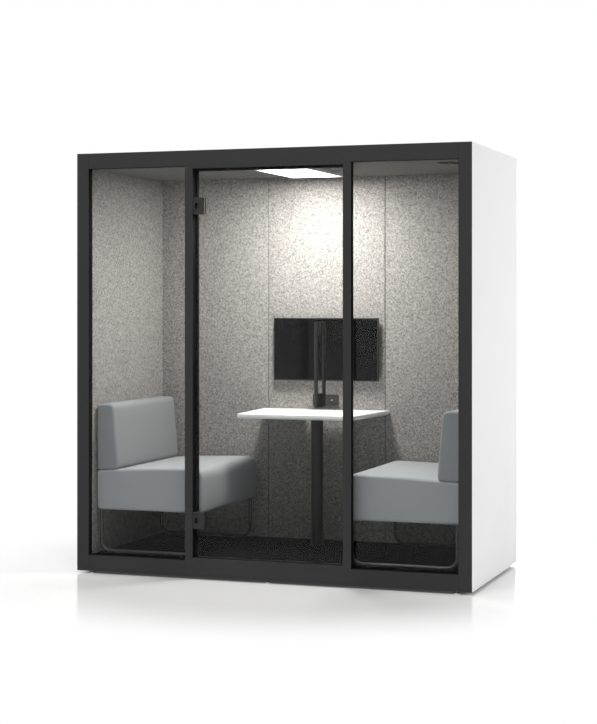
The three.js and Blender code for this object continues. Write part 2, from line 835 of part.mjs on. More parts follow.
const sledFront = seatDepth - sledFromFront;
const sledRun = carpetTop + glideHeight + sledTube / 2;
for (const [hand, wallX, facing] of [['left', -sofaX, 1], ['right', sofaX, -1]]) {
  const sofa = addGroup(wallX, sofaY, facing > 0 ? 0 : Math.PI);
  addPiece(`${hand}_seat_cushion`, cushion(seatProfile, -sofaHalf, sofaHalf), wool, sofa);
  addPiece(`${hand}_back_cushion`, cushion(backProfile, -sofaHalf, sofaHalf), wool, sofa);
  for (const [place, end] of [['near', -facing], ['rear', facing]]) {
    const y = end * (sofaHalf - sledFromEnd);
    const tube = sledTubeRun(sledBack, sledFront, y, sledRun, seatLow - fit);
    const glides = [sledBack + glideFromLeg, sledFront - glideFromLeg].map(
      (x) => roundBar(glideRadius, x, y, carpetTop, sledRun, smallSides),
    );
    addPiece(`${hand}_${place}_sled`, join(tube, ...glides), black, sofa);
  }
}

// Wall screen on a flat bracket.
const screenBack = liningBack - bracketDepth;
const slabBack = screenBack - screenHumpDepth;
const screenZ = carpetTop + screenMiddle;
addPiece('monitor', join(
  block(
    screenX - screenWidth / 2, screenX + screenWidth / 2, slabBack - screenThickness, slabBack,
    screenZ - screenHeight / 2, screenZ + screenHeight / 2,
  ),
  block(
    screenX - screenHumpWidth / 2, screenX + screenHumpWidth / 2, slabBack - overcut, screenBack,
    screenZ - screenHumpHeight / 2, screenZ + screenHumpHeight / 2,
  ),
), screenBlack);
addPiece('monitor_bracket', block(
  screenX - bracketWidth / 2, screenX + bracketWidth / 2, screenBack, liningBack,
  screenZ - bracketHeight / 2, screenZ + bracketHeight / 2,
), black);

// Socket plate over the table: an outlet recess on the left and the light button on the right.
const socketFront = liningBack - socketDepth;
const socketZ = carpetTop + socketMiddle;
const moduleX = socketWidth / 4;
const buttonFront = socketFront - buttonProud;
const buttonBack = buttonFront + buttonLength;
const plate = block(
  -socketWidth / 2, socketWidth / 2, socketFront, liningBack,
  socketZ - socketHeight / 2, socketZ + socketHeight / 2,
);
const outlet = roundBarAlongY(
  outletRadius, -moduleX, socketZ, socketFront - overcut, socketFront + outletDepth,
);
const buttonWell = roundBarAlongY(
  buttonRadius + fit, moduleX, socketZ, socketFront - overcut, buttonBack + buttonTravel + fit,
);
addPiece('socket_plate', cut(plate, outlet, buttonWell), black);
addPiece('light_button', roundBarAlongY(buttonRadius, moduleX, socketZ, buttonFront, buttonBack), steel);

export default pod;
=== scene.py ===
"""An acoustic office pod: a glazed front with a hinged door, and a felt-lined cabin to sit and talk in."""
import json
import math
import bmesh
import bpy
import numpy as np
from mathutils import Matrix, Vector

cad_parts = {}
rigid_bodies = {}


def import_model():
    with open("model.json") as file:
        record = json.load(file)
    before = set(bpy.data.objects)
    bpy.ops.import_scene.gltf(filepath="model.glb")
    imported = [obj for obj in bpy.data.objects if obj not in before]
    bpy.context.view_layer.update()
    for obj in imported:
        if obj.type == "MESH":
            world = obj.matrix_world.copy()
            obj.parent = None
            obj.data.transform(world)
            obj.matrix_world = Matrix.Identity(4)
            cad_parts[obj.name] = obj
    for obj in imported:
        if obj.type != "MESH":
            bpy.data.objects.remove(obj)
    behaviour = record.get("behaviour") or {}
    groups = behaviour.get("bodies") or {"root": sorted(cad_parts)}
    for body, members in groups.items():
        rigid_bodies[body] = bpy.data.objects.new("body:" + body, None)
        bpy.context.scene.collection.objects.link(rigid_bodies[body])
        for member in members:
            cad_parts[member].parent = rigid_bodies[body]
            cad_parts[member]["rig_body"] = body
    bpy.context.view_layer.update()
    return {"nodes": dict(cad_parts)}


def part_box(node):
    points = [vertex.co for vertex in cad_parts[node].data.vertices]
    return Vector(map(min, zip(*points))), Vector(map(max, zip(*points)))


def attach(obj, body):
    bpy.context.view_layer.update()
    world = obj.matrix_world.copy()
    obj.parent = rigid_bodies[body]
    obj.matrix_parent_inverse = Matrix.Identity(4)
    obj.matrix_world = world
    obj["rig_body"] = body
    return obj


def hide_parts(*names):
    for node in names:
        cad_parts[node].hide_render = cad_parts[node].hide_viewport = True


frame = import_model()
nodes = frame["nodes"]
scene = bpy.context.scene
scene.view_settings.view_transform = "Standard"


# Studio: the camera stands to the right of the front at eye height, on a long lens with the picture
# shifted down a little. The pod stands on a pale, slightly glossy floor in an even white surround.
eye = (3.132, -8.963, 1.488)
eye_turn = math.radians(19.28)
eye_lens = 84.73
eye_film = 36.0
eye_range = 100.0
eye_shift = -0.0834
surround_light = 0.24
floor_colour = (0.8, 0.8, 0.8, 1)
floor_roughness = 0.14
floor_lift = 0.05
floor_fade = (1.15, 2.1)
floor_reach = 30.0
# Each studio lamp has a place, a point that it faces, a side in metres and a power in watts.
studio_lamps = {"right_light": ((7.1, 1.9, 1.7), (1.1, 0.2, 1.2), 3.2, 192),
                "left_light": ((-7.1, 1.9, 1.7), (-1.1, 0.2, 1.2), 3.2, 165),
                "back_light": ((0, 7.0, 1.7), (0, 0.5, 1.2), 3.2, 185),
                "front_light": ((0, -2.9, 7.6), (0, -0.5, 1.0), 3.0, 350)}

camera = bpy.data.objects.new("camera", bpy.data.cameras.new("camera"))
camera.location = eye
camera.rotation_euler = (math.pi / 2, 0, eye_turn)
camera.data.lens = eye_lens
camera.data.sensor_width = eye_film
camera.data.shift_y = eye_shift
camera.data.clip_end = eye_range
scene.collection.objects.link(camera)
scene.camera = camera


def add_node(tree, kind, inputs=None, **settings):
    """A node with its settings made and each input either linked to a socket or set to a value."""
    made = tree.nodes.new(kind)
    for key, value in settings.items():
        setattr(made, key, value)
    for key, value in (inputs or {}).items():
        if isinstance(value, bpy.types.NodeSocket):
            tree.links.new(value, made.inputs[key])
        else:
            made.inputs[key].default_value = value
    return made


def seen_directly(tree):
    """One for rays from the camera, from a mirror or through glass, and nought for light that spreads."""
    path = add_node(tree, "ShaderNodeLightPath")
    mirrored = add_node(tree, "ShaderNodeMath", {0: path.outputs["Is Camera Ray"],
                                                 1: path.outputs["Is Glossy Ray"]}, operation="MAXIMUM")
    return add_node(tree, "ShaderNodeMath", {0: mirrored.outputs[0],
                                             1: path.outputs["Is Transmission Ray"]}, operation="MAXIMUM")


world = bpy.data.worlds.new("surround")
world.use_nodes = True
scene.world = world
surround = world.node_tree
surround.nodes.clear()
surround_strength = add_node(surround, "ShaderNodeMapRange", {
    "Value": seen_directly(surround).outputs[0], "To Min": surround_light, "To Max": 1.0})
surround_sky = add_node(surround, "ShaderNodeBackground", {
    "Color": (1, 1, 1, 1), "Strength": surround_strength.outputs["Result"]})
add_node(surround, "ShaderNodeOutputWorld", {"Surface": surround_sky.outputs[0]})

floor_mesh = bpy.data.meshes.new("studio_floor")
floor_mesh.from_pydata([(-floor_reach, -floor_reach, 0), (floor_reach, -floor_reach, 0),
                        (floor_reach, floor_reach, 0), (-floor_reach, floor_reach, 0)],
                       [], [(0, 1, 2, 3)])
studio_floor = bpy.data.objects.new("studio_floor", floor_mesh)
scene.collection.objects.link(studio_floor)
floor_paint = bpy.data.materials.new("studio_floor")
floor_paint.use_nodes = True
floor_tree = floor_paint.node_tree
floor_shader = floor_tree.nodes["Principled BSDF"]
floor_shader.inputs["Base Color"].default_value = floor_colour
floor_shader.inputs["Roughness"].default_value = floor_roughness
floor_seen = seen_directly(floor_tree).outputs[0]
floor_far = add_node(floor_tree, "ShaderNodeVectorMath", {
    0: add_node(floor_tree, "ShaderNodeTexCoord").outputs["Object"]}, operation="LENGTH")
floor_mask = add_node(floor_tree, "ShaderNodeMapRange", {
    "Value": floor_far.outputs["Value"], "From Min": floor_fade[0], "From Max": floor_fade[1]},
    interpolation_type="SMOOTHSTEP")
floor_white = add_node(floor_tree, "ShaderNodeEmission", {"Strength": 1.0})
floor_share = add_node(floor_tree, "ShaderNodeMath", {
    0: floor_mask.outputs[0], 1: floor_seen}, operation="MULTIPLY")
floor_glow = add_node(floor_tree, "ShaderNodeMath", {0: floor_seen, 1: floor_lift}, operation="MULTIPLY")
floor_raise = add_node(floor_tree, "ShaderNodeEmission", {"Strength": floor_glow.outputs[0]})
floor_near = add_node(floor_tree, "ShaderNodeAddShader", {
    0: floor_shader.outputs[0], 1: floor_raise.outputs[0]})
floor_mix = add_node(floor_tree, "ShaderNodeMixShader", {
    0: floor_share.outputs[0], 1: floor_near.outputs[0], 2: floor_white.outputs[0]})
floor_tree.links.new(floor_mix.outputs[0], floor_tree.nodes["Material Output"].inputs["Surface"])
floor_mesh.materials.append(floor_paint)


def soft_lamp(name, place, target, size, power):
    """A square area lamp at a place, turned to face a target."""
    data = bpy.data.lights.new(name, "AREA")
    data.shape = "SQUARE"
    data.size = size
    data.energy = power
    lamp = bpy.data.objects.new(name, data)
    scene.collection.objects.link(lamp)
    away = np.subtract(target, place)
    across = np.cross(away, (0, 0, 1))
    across /= np.linalg.norm(across)
    back = -away / np.linalg.norm(away)
    up = np.cross(back, across)
    turn = np.eye(4)
    turn[:3, 0], turn[:3, 1], turn[:3, 2], turn[:3, 3] = across, up, back, place
    lamp.matrix_world = Matrix(turn.tolist())


for lamp_name, lamp_values in studio_lamps.items():
    soft_lamp(lamp_name, *lamp_values)


# Front frame: two lipped posts, top and bottom rails, two mullions, a door head and a threshold.
# They are drawn aluminium bars with an anthracite powder coat, butted together and screwed from inside.
frame_colour = (0.042, 0.042, 0.0423, 1)
frame_edge = 0.0012
merge_reach = 1e-5
flat_turn = math.radians(1)
sharp_turn = math.radians(35)
frame_bars = ("left_post", "right_post", "top_rail", "bottom_rail", "left_mullion", "right_mullion",
              "door_head", "door_threshold")


def new_group(name, inputs, outputs):
    """An empty shader node group with its named sockets, and its input and output nodes."""
    group = bpy.data.node_groups.new(name, "ShaderNodeTree")
    for socket, kind, value in inputs:
        made = group.interface.new_socket(socket, in_out="INPUT", socket_type="NodeSocket" + kind)
        made.default_value = value
    for socket, kind in outputs:
        group.interface.new_socket(socket, in_out="OUTPUT", socket_type="NodeSocket" + kind)
    return group, group.nodes.new("NodeGroupInput"), group.nodes.new("NodeGroupOutput")


def mixed(tree, factor, a, b):
    """The colour between a and b at a factor."""
    return add_node(tree, "ShaderNodeMix", {0: factor, 6: a, 7: b}, data_type="RGBA").outputs[2]


def ranged(tree, value, low, high, to_low, to_high):
    """A value's stretch from low to high carried on to another range, and held there beyond it."""
    return add_node(tree, "ShaderNodeMapRange", {"Value": value, "From Min": low, "From Max": high,
                                                 "To Min": to_low, "To Max": to_high}).outputs[0]


def noise(tree, scale, detail=2.0, roughness=0.5, vector=None):
    """Soft noise on the piece's own coordinates, with about scale humps to the metre."""
    where = vector or add_node(tree, "ShaderNodeTexCoord").outputs["Object"]
    made = add_node(tree, "ShaderNodeTexNoise", {"Vector": where, "Scale": scale, "Detail": detail,
                                                 "Roughness": roughness})
    return made.outputs["Fac"]


# Coated skin: a sprayed or moulded surface with a fine orange-peel, slow mottling and uneven gloss.
coated_skin, skin_in, skin_out = new_group(
    "coated_skin",
    [("Light", "Color", (0.5, 0.5, 0.5, 1)), ("Dark", "Color", (0.4, 0.4, 0.4, 1)),
     ("Peel", "Float", 900.0), ("Smooth", "Float", 0.4), ("Rough", "Float", 0.5)],
    [("Color", "Color"), ("Roughness", "Float"), ("Height", "Float")])
skin_cloud = noise(coated_skin, 3.5, 3.0)
skin_peel = noise(coated_skin, skin_in.outputs["Peel"], 2.0)
coated_skin.links.new(mixed(coated_skin, ranged(coated_skin, skin_cloud, 0.3, 0.7, 0.0, 1.0),
                            skin_in.outputs["Light"], skin_in.outputs["Dark"]), skin_out.inputs["Color"])
skin_gloss = add_node(coated_skin, "ShaderNodeMapRange", {
    "Value": noise(coated_skin, 60.0, 4.0), "From Min": 0.3, "From Max": 0.7,
    "To Min": skin_in.outputs["Smooth"], "To Max": skin_in.outputs["Rough"]})
coated_skin.links.new(skin_gloss.outputs[0], skin_out.inputs["Roughness"])
coated_skin.links.new(skin_peel, skin_out.inputs["Height"])


def new_finish(name, **sockets):
    """A material with one Principled shader, and its plain values set on the shader's own sockets."""
    material = bpy.data.materials.new(name)
    material.use_nodes = True
    shader = material.node_tree.nodes["Principled BSDF"]
    for socket, value in sockets.items():
        shader.inputs[socket.replace("_", " ")].default_value = value
    return material, material.node_tree, shader


def relief(tree, shader, height, depth):
    """Feeds a height to the shader's normal as relief of a depth in metres."""
    bump = add_node(tree, "ShaderNodeBump", {"Height": height, "Distance": depth, "Strength": 1.0})
    tree.links.new(bump.outputs[0], shader.inputs["Normal"])


def shaded(colour, share):
    """A darker shade of a colour."""
    return tuple(share * c for c in colour[:3]) + (1,)


def coated(name, colour, shade, peel, smooth, rough, depth, **sockets):
    """A coated or moulded finish whose colour drifts from colour to a shade of it."""
    material, tree, shader = new_finish(name, **sockets)
    skin = add_node(tree, "ShaderNodeGroup", node_tree=coated_skin)
    for socket, value in (("Light", colour), ("Dark", shaded(colour, shade)), ("Peel", peel),
                          ("Smooth", smooth), ("Rough", rough)):
        skin.inputs[socket].default_value = value
    tree.links.new(skin.outputs["Color"], shader.inputs["Base Color"])
    tree.links.new(skin.outputs["Roughness"], shader.inputs["Roughness"])
    relief(tree, shader, skin.outputs["Height"], depth)
    return material


def new_piece(name, mesh, material, slot, body, *replaced):
    """Puts up a mesh as a piece with its finish, body and the nodes that it stands for; its slot is not
    used.
    """
    piece = bpy.data.objects.new(name, mesh)
    scene.collection.objects.link(piece)
    mesh.materials.clear()
    mesh.materials.append(material)
    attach(piece, body)
    if replaced:
        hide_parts(*replaced)
    return piece


def eased(node, edge, material, slot, segments=2):
    """A copy of a hard-edged node with its corners merged, its flat faces joined and its edges rounded."""
    body = nodes[node]["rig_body"]
    mesh = nodes[node].data.copy()
    mesh.name = node + "_eased"
    shape = bmesh.new()
    shape.from_mesh(mesh)
    bmesh.ops.remove_doubles(shape, verts=shape.verts, dist=merge_reach)
    bmesh.ops.dissolve_limit(shape, angle_limit=flat_turn, verts=shape.verts, edges=shape.edges)
    shape.to_mesh(mesh)
    shape.free()
    mesh.shade_smooth()
    mesh.set_sharp_from_angle(angle=sharp_turn)
    piece = new_piece(node + "_eased", mesh, material, slot, body, node)
    rounding = piece.modifiers.new("edge", "BEVEL")
    rounding.width = edge
    rounding.segments = segments
    rounding.limit_method = "ANGLE"
    rounding.angle_limit = sharp_turn
    rounding.harden_normals = True
    rounding.use_clamp_overlap = True


frame_coat = coated("frame_coat", frame_colour, shade=0.93, peel=1100.0, smooth=0.42, rough=0.56,
                    depth=0.00006, Specular_IOR_Level=0.15)
for bar in frame_bars:
    eased(bar, frame_edge, frame_coat, "frame")


# Levelling feet: a turned steel pad with a threaded stem that screws up into the frame.
# Bright zinc plate, with the faint rings that the lathe leaves.
foot_colour = (0.62, 0.62, 0.63, 1)
foot_shade = (0.5, 0.5, 0.51, 1)
lathe_rings = (30.0, 30.0, 2200.0)
foot_sides = 40
foot_rim = 0.0012
pad_thick = 0.0042
neck_from = 0.0072
neck_to = 0.0082
stem_tip = 0.001
foot_ease = 0.0006
pad_under = 0.86
pad_to_stem = 3
neck_flare = 1.6
tip_taper = 0.8
ring_depth = 0.00004
foot_names = [row + column + "_foot"
              for row in ("front_", "back_") for column in ("left", "middle", "right")]


def grid_faces(rows, columns):
    """The quads of a grid of points, row by row, with the last column joined to the first."""
    row, column = np.meshgrid(np.arange(rows - 1), np.arange(columns), indexing="ij")
    beside = (column + 1) % columns
    quads = np.stack([row * columns + column, row * columns + beside,
                      (row + 1) * columns + beside, (row + 1) * columns + column], axis=-1)
    return quads.reshape(-1, 4)


def capped_faces(rows, columns):
    """The quads of such a grid, and a cap of its own on the first row and on the last."""
    first = list(range(columns))[::-1]
    last = list(range((rows - 1) * columns, rows * columns))
    return grid_faces(rows, columns).tolist() + [first, last]


def mesh_of(name, points, faces, smooth_angle=40):
    """A mesh from arrays of points and faces, shaded smooth except at edges sharper than an angle."""
    mesh = bpy.data.meshes.new(name)
    mesh.from_pydata(np.asarray(points, float).reshape(-1, 3).tolist(), [], [list(f) for f in faces])
    mesh.shade_smooth()
    mesh.set_sharp_from_angle(angle=math.radians(smooth_angle))
    return mesh


def turned(profile, sides, place=(0, 0, 0), axis="z"):
    """A profile of (radius, height) rows carried round an axis, with a cap on its first and last rows.

    Point (i, j) is (r_i cos t_j, r_i sin t_j, h_i), and heights run along the axis from the place."""
    radius, height = np.asarray(profile, float).T
    turn = np.arange(sides) * 2 * math.pi / sides
    ring = np.stack([np.outer(radius, np.cos(turn)), np.outer(radius, np.sin(turn)),
                     np.repeat(height[:, None], sides, axis=1)], axis=-1)
    if axis == "y":
        ring = np.stack([ring[..., 1], ring[..., 2], ring[..., 0]], axis=-1)
    return ring.reshape(-1, 3) + np.asarray(place), capped_faces(len(radius), sides)


def rounded_rows(rows, edge, steps=4):
    """A profile with each inner corner replaced by a short parabola that starts and ends an edge away."""
    rows = np.asarray(rows, float)
    before = rows[:-2] - rows[1:-1]
    after = rows[2:] - rows[1:-1]
    start = rows[1:-1] + before / np.linalg.norm(before, axis=1, keepdims=True) * edge
    end = rows[1:-1] + after / np.linalg.norm(after, axis=1, keepdims=True) * edge
    t = np.linspace(0, 1, steps + 1)[None, :, None]
    bends = (1 - t) ** 2 * start[:, None] + 2 * t * (1 - t) * rows[1:-1, None] + t ** 2 * end[:, None]
    return np.concatenate([rows[:1], bends.reshape(-1, 2), rows[-1:]])


plated_steel, plated_tree, plated_shader = new_finish("plated_steel", Metallic=1.0)
plated_place = add_node(plated_tree, "ShaderNodeMapping", {
    "Vector": add_node(plated_tree, "ShaderNodeTexCoord").outputs["Object"], "Scale": lathe_rings})
plated_rings = noise(plated_tree, 1.0, 3.0, 0.6, plated_place.outputs[0])
plated_tree.links.new(ranged(plated_tree, plated_rings, 0.3, 0.7, 0.22, 0.42),
                      plated_shader.inputs["Roughness"])
plated_tree.links.new(mixed(plated_tree, plated_rings, foot_colour, foot_shade),
                      plated_shader.inputs["Base Color"])
relief(plated_tree, plated_shader, plated_rings, ring_depth)
for foot in foot_names:
    low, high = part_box(foot)
    pad = (high.x - low.x) / 2
    stem = pad / pad_to_stem
    tall = high.z - low.z
    outline = rounded_rows([(pad * pad_under, 0), (pad, foot_rim), (pad, pad_thick),
                            (stem * neck_flare, neck_from), (stem, neck_to), (stem, tall - stem_tip),
                            (stem * tip_taper, tall)], foot_ease)
    shape = turned(outline, foot_sides, ((low.x + high.x) / 2, (low.y + high.y) / 2, low.z))
    new_piece(foot + "_turned", mesh_of(foot + "_turned", *shape), plated_steel, "bright_steel",
              nodes[foot]["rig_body"], foot)


# Shell: two side panels, a back and a roof of matt white laminate on board, and a black base under the
# carpet. The panels are dowelled to each other and their edges are slightly eased.
laminate_colour = (0.885, 0.885, 0.885, 1)
base_colour = (0.018, 0.018, 0.019, 1)
panel_edge = 0.0015
white_laminate = coated("white_laminate", laminate_colour, shade=0.985, peel=1500.0, smooth=0.45,
                        rough=0.55, depth=0.00002)
base_board = coated("base_board", base_colour, shade=0.8, peel=800.0, smooth=0.55, rough=0.7, depth=0.00004)
for panel in ("left_side_panel", "right_side_panel", "back_panel", "roof_panel"):
    eased(panel, panel_edge, white_laminate, "outer_panel")


def dress(node, material):
    """Gives a carried-over node its finish."""
    nodes[node].data.materials.clear()
    nodes[node].data.materials.append(material)


dress("floor_panel", base_board)


# Felt linings: pressed polyester felt boards on the walls, flecked light and dark, with a finer and
# darker one on the ceiling, all glued to the shell. The carpet is a charcoal loop pile.
felt_dark = (0.105, 0.101, 0.096, 1)
felt_light = (0.45, 0.434, 0.418, 1)
felt_fleck = (0.6, 0.585, 0.57, 1)
ceiling_dark = (0.105, 0.104, 0.102, 1)
ceiling_light = (0.175, 0.172, 0.168, 1)
ceiling_fleck = (0.22, 0.217, 0.21, 1)
carpet_dark = (0.0015, 0.0015, 0.0018, 1)
carpet_light = (0.007, 0.007, 0.0083, 1)
carpet_fleck = (0.014, 0.014, 0.0165, 1)
felt_edge = 0.0015
cloud_coarse = 0.4
cloud_swing = 0.06

# Pressed fibre: tufts of two tones that gather in clouds, pale flecks over them, and the relief of both.
pressed_fibre, fibre_in, fibre_out = new_group(
    "pressed_fibre",
    [("Dark", "Color", (0.2, 0.2, 0.2, 1)), ("Light", "Color", (0.4, 0.4, 0.4, 1)),
     ("Fleck", "Color", (0.6, 0.6, 0.6, 1)), ("Tufts", "Float", 160.0), ("Flecks", "Float", 420.0),
     ("Share", "Float", 0.62)],
    [("Color", "Color"), ("Height", "Float")])
tuft_fine = noise(pressed_fibre, fibre_in.outputs["Tufts"], 5.0, 0.72)
cloud_scale = add_node(pressed_fibre, "ShaderNodeMath", {
    0: fibre_in.outputs["Tufts"], 1: cloud_coarse}, operation="MULTIPLY")
cloud = noise(pressed_fibre, cloud_scale.outputs[0], 2.0)
cloud_share = ranged(pressed_fibre, cloud, 0.25, 0.75, -cloud_swing, cloud_swing)
tuft_sum = add_node(pressed_fibre, "ShaderNodeMath", {0: tuft_fine, 1: cloud_share}, operation="ADD")
tuft = tuft_sum.outputs[0]
fleck = noise(pressed_fibre, fibre_in.outputs["Flecks"], 2.0, 0.6)
fleck_gate = add_node(pressed_fibre, "ShaderNodeMapRange", {
    "Value": fleck, "From Min": fibre_in.outputs["Share"], "From Max": 0.78,
    "To Min": 0.0, "To Max": 1.0})
fibre_ground = mixed(pressed_fibre, ranged(pressed_fibre, tuft, 0.35, 0.65, 0.0, 1.0),
                     fibre_in.outputs["Dark"], fibre_in.outputs["Light"])
fibre_tone = mixed(pressed_fibre, fleck_gate.outputs[0], fibre_ground, fibre_in.outputs["Fleck"])
pressed_fibre.links.new(fibre_tone, fibre_out.inputs["Color"])
fibre_height = add_node(pressed_fibre, "ShaderNodeMath", {0: tuft, 1: fleck}, operation="ADD")
pressed_fibre.links.new(fibre_height.outputs[0], fibre_out.inputs["Height"])


def fibrous(name, dark, light, fleck_colour, tufts, flecks, share, depth, **sockets):
    """A finish of loose or pressed fibre in two tones with flecks."""
    material, tree, shader = new_finish(name, **sockets)
    fibre = add_node(tree, "ShaderNodeGroup", node_tree=pressed_fibre)
    for socket, value in (("Dark", dark), ("Light", light), ("Fleck", fleck_colour), ("Tufts", tufts),
                          ("Flecks", flecks), ("Share", share)):
        fibre.inputs[socket].default_value = value
    tree.links.new(fibre.outputs["Color"], shader.inputs["Base Color"])
    relief(tree, shader, fibre.outputs["Height"], depth)
    return material


wall_felt = fibrous("wall_felt", felt_dark, felt_light, felt_fleck, tufts=165.0, flecks=330.0, share=0.56,
                    depth=0.0006, Roughness=0.95, Specular_IOR_Level=0.1)
roof_felt = fibrous("roof_felt", ceiling_dark, ceiling_light, ceiling_fleck, tufts=420.0, flecks=700.0,
                    share=0.62, depth=0.0004, Roughness=0.95)
carpet_pile = fibrous("carpet_pile", carpet_dark, carpet_light, carpet_fleck, tufts=210.0, flecks=330.0,
                      share=0.6, depth=0.003, Roughness=1.0, Specular_IOR_Level=0.0)
for board in ("left_felt", "right_felt", "back_felt_left", "back_felt_centre", "back_felt_right"):
    eased(board, felt_edge, wall_felt, "felt", 3)
eased("ceiling_felt", felt_edge, roof_felt, "ceiling_felt", 2)
dress("carpet", carpet_pile)


# Glazing: clear laminated panes held behind the frame on black gaskets, and the door's rubber stop.
# Light passes the glass unbent on its way to a surface, so that the cabin is lit through it.
glass_tint = (0.985, 0.992, 0.99, 1)
glass_shade = (0.975, 0.985, 0.982, 1)
glass_pass = (0.95, 0.96, 0.96, 1)
glass_bend = 1.18
glass_edge = 0.0008
rubber_colour = (0.012, 0.012, 0.0125, 1)
glass, glass_tree, glass_shader = new_finish("clear_glass", Transmission_Weight=1.0, IOR=glass_bend,
                                             Metallic=0.0)
glass_haze = noise(glass_tree, 2.2, 4.0)
glass_tree.links.new(mixed(glass_tree, glass_haze, glass_tint, glass_shade),
                     glass_shader.inputs["Base Color"])
glass_tree.links.new(ranged(glass_tree, glass_haze, 0.35, 0.7, 0.0, 0.012),
                     glass_shader.inputs["Roughness"])
glass_path = add_node(glass_tree, "ShaderNodeLightPath")
glass_light = add_node(glass_tree, "ShaderNodeMath", {
    0: glass_path.outputs["Is Shadow Ray"], 1: glass_path.outputs["Is Diffuse Ray"]}, operation="MAXIMUM")
glass_open = add_node(glass_tree, "ShaderNodeBsdfTransparent", {"Color": glass_pass})
glass_mix = add_node(glass_tree, "ShaderNodeMixShader", {
    0: glass_light.outputs[0], 1: glass_shader.outputs[0], 2: glass_open.outputs[0]})
glass_tree.links.new(glass_mix.outputs[0], glass_tree.nodes["Material Output"].inputs["Surface"])
seal_rubber = coated("seal_rubber", rubber_colour, shade=0.7, peel=500.0, smooth=0.7, rough=0.9,
                     depth=0.00005, Specular_IOR_Level=0.05)
for pane in ("left_pane", "right_pane"):
    eased(pane, glass_edge, glass, "glass", 1)
for seal in ("left_pane_gasket", "right_pane_gasket", "door_stop_seal"):
    dress(seal, seal_rubber)


# Reveal strips: thin black strips on the inner sides of the frame's three openings, as painted shade.
# They start just behind the frame's front face.
shade_strip_thick = 0.0004
shade_strip_from_face = 0.002


def reveal(name, x0, x1, z0, z1, y_back):
    """A strip round the four sides of an opening: a thin oblong section carried round its corners."""
    y_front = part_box("top_rail")[0].y + shade_strip_from_face
    outer = np.array([(x0, z0), (x1, z0), (x1, z1), (x0, z1)])
    inner = outer + shade_strip_thick * np.array([(1, 1), (-1, 1), (-1, -1), (1, -1)])
    rows = [(outer, y_front), (inner, y_front), (inner, y_back), (outer, y_back), (outer, y_front)]
    points = np.array([[(x, y, z) for x, z in ring] for ring, y in rows[:-1]])
    faces = grid_faces(len(rows), 4) % (4 * (len(rows) - 1))
    new_piece(name, mesh_of(name, points, faces.tolist()), seal_rubber, "rubber", "cabin")


sill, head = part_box("bottom_rail")[1].z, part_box("top_rail")[0].z
frame_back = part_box("bottom_rail")[1].y
# Each opening's inner faces are covered in black, as painted shade.
reveal("left_reveal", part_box("left_post")[1].x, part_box("left_mullion")[0].x, sill, head, frame_back)
reveal("right_reveal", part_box("right_mullion")[1].x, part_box("right_post")[0].x, sill, head, frame_back)
reveal("door_reveal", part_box("left_mullion")[1].x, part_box("right_mullion")[0].x,
       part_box("door_threshold")[1].z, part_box("door_head")[0].z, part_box("left_mullion")[1].y)


# Door: a frameless glass leaf on two clamp hinges, with round pull bars on both sides that share two
# standoffs through the glass. The hinges are coated like the frame, and the bars are satin black tube.
iron_colour = (0.012, 0.012, 0.0122, 1)
tube_colour = (0.026, 0.026, 0.0263, 1)
leaf_edge = 0.0004
clamp_edge = 0.0009
pull_edge = 0.0025
pull_steps = 6
pull_sides = 48
hinge_coat = coated("hinge_coat", frame_colour, shade=0.93, peel=1100.0, smooth=0.42, rough=0.56,
                    depth=0.00006, Specular_IOR_Level=0.15)
satin_black = coated("satin_black", iron_colour, shade=0.8, peel=1300.0, smooth=0.3, rough=0.42,
                     depth=0.00003, Specular_IOR_Level=0.22)
tube_black = coated("tube_black", tube_colour, shade=0.85, peel=1300.0, smooth=0.26, rough=0.36,
                    depth=0.00003, Specular_IOR_Level=0.45)


def round_bar(place, z0, z1, radius, edge, steps, sides, tip=0.0005):
    """An upright bar: the oblong profile of its half section, with eased corners, carried round its axis.

    The first and last rows stand a tip's width off the axis, where the caps close them."""
    rows = rounded_rows([(tip, z0), (radius, z0), (radius, z1), (tip, z1)], edge, steps)
    return turned(rows, sides, place + (0,))


eased("door_glass", glass_edge, glass, "glass", 1)
for place in ("upper", "lower"):
    eased(place + "_hinge_leaf", leaf_edge, hinge_coat, "ironwork")
    eased(place + "_hinge_clamp", clamp_edge, hinge_coat, "ironwork")
    dress(place + "_pull_standoff", satin_black)
    dress(place + "_hinge_pin", plated_steel)
for bar in ("outer_pull_bar", "inner_pull_bar"):
    low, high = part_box(bar)
    middle = ((low.x + high.x) / 2, (low.y + high.y) / 2)
    shape = round_bar(middle, low.z, high.z, (high.x - low.x) / 2, pull_edge, pull_steps, pull_sides)
    new_piece(bar + "_round", mesh_of(bar + "_round", *shape), tube_black, "ironwork", "door", bar)


# Lamp: a flat ceiling panel, a white pressed rim with an opal diffuser that glows warm white.
# Its light on the cabin comes from a lamp just below it, three quarters as long and nearer the front,
# which is hidden from glass and from mirrors.
lamp_colour = (1.0, 0.972, 0.94)
lamp_power = 30.0
lamp_length = 0.75
lamp_forward = 0.12
lamp_below = 0.004
rim_colour = (0.82, 0.82, 0.81, 1)
rim_edge = 0.0012
opal_light = ((1.0, 0.965, 0.91, 1), (1.0, 0.945, 0.87, 1))
opal_body = ((0.9, 0.88, 0.84, 1), (0.86, 0.84, 0.8, 1))
opal_strength = 10.0
rim_white = coated("rim_white", rim_colour, shade=0.97, peel=900.0, smooth=0.4, rough=0.5, depth=0.00003)
eased("lamp_frame", rim_edge, rim_white, "lamp_rim")
diffuser_low, diffuser_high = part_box("lamp_diffuser")
opal, opal_tree, opal_shader = new_finish("opal_glow", Roughness=0.5, Emission_Strength=opal_strength)
opal_cells = noise(opal_tree, 6.0, 2.0)
opal_tree.links.new(mixed(opal_tree, opal_cells, *opal_light), opal_shader.inputs["Emission Color"])
opal_tree.links.new(mixed(opal_tree, opal_cells, *opal_body), opal_shader.inputs["Base Color"])
dress("lamp_diffuser", opal)
panel_glow = bpy.data.lights.new("panel_glow", "AREA")
panel_glow.shape = "RECTANGLE"
